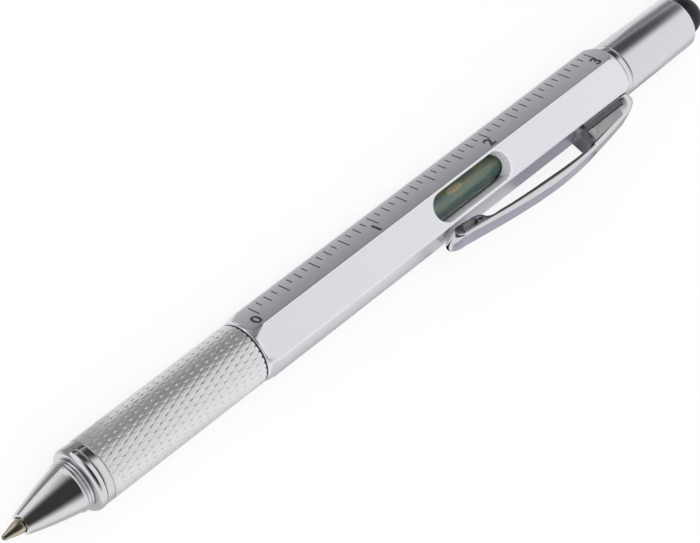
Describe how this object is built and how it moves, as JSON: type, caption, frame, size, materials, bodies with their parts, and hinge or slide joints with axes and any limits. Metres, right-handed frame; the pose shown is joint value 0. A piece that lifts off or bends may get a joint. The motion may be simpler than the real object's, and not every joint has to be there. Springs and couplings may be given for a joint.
{
  "type": "multi tool pen",
  "caption": "Hexagonal metal ball pen with twist grip, inch rule, spirit level, pocket clip, stylus cap and screwdriver bit",
  "frame": {"origin": "middle of the barrel's flat opposite the level, which the pen lies on", "axes": "+X along the pen from the writing ball to the stylus, +Z out of the face with the level, +Y towards the face with the rule"},
  "size_m": [0.1524, 0.0147, 0.0118],
  "materials": {
    "satin_aluminium": "satin anodised",
    "knurled_aluminium": "fine knurl",
    "chrome": "polished",
    "brass": "turned",
    "steel": "ground",
    "clear_vial": "clear",
    "green_liquid": "clear green",
    "bubble": "clear",
    "ink": "blue ink",
    "grease": "grease",
    "white_plastic": "moulded",
    "brown_plastic": "moulded",
    "black_rubber": "smooth"
  },
  "bodies": {
    "barrel": {"barrel": "satin_aluminium", "level_vial": "clear_vial", "vial_plug": "white_plastic", "level_liquid": "green_liquid", "cam_tube": "steel", "slip_washer": "brown_plastic", "bit_holder": "chrome", "screwdriver_bit": "steel", "clip_post": "chrome"},
    "bubble": {"level_bubble": "bubble"},
    "grip": {"grip_sleeve": "knurled_aluminium", "nose_cone": "chrome", "drive_tube": "brass", "retaining_ring": "steel"},
    "refill": {"refill_carrier": "white_plastic", "refill_tube": "steel", "refill_nib": "brass", "writing_ball": "steel", "ink_column": "ink", "ink_follower": "grease"},
    "cap": {"cap_shell": "satin_aluminium", "stylus_tip": "black_rubber", "stylus_retainer": "white_plastic"},
    "clip": {"clip_arm": "chrome"}
  },
  "joints": [
    {"name": "grip_twist", "type": "hinge", "parent": "barrel", "child": "grip", "pos_m": [-0.0416, 0, 0.00485], "axis": [1, 0, 0], "range_deg": [0, 160]},
    {"name": "refill_slide", "type": "slide", "parent": "grip", "child": "refill", "axis": [1, 0, 0], "range_m": [0, 0.0048]},
    {"name": "cap_pull", "type": "slide", "parent": "barrel", "child": "cap", "axis": [1, 0, 0], "range_m": [0, 0.03]},
    {"name": "clip_flex", "type": "hinge", "parent": "barrel", "child": "clip", "pos_m": [0.0402, -0.00472, 0.00758], "axis": [0, 0.5, 0.866], "range_deg": [0, 4], "stiffness_Nm_per_rad": 0.25},
    {"name": "bubble_travel", "type": "slide", "parent": "barrel", "child": "bubble", "axis": [1, 0, 0], "range_m": [-0.0048, 0.0072]}
  ],
  "couplings": [
    {"joint": "grip_twist", "follows": "refill_slide", "rad_per_m": 581.78}
  ]
}
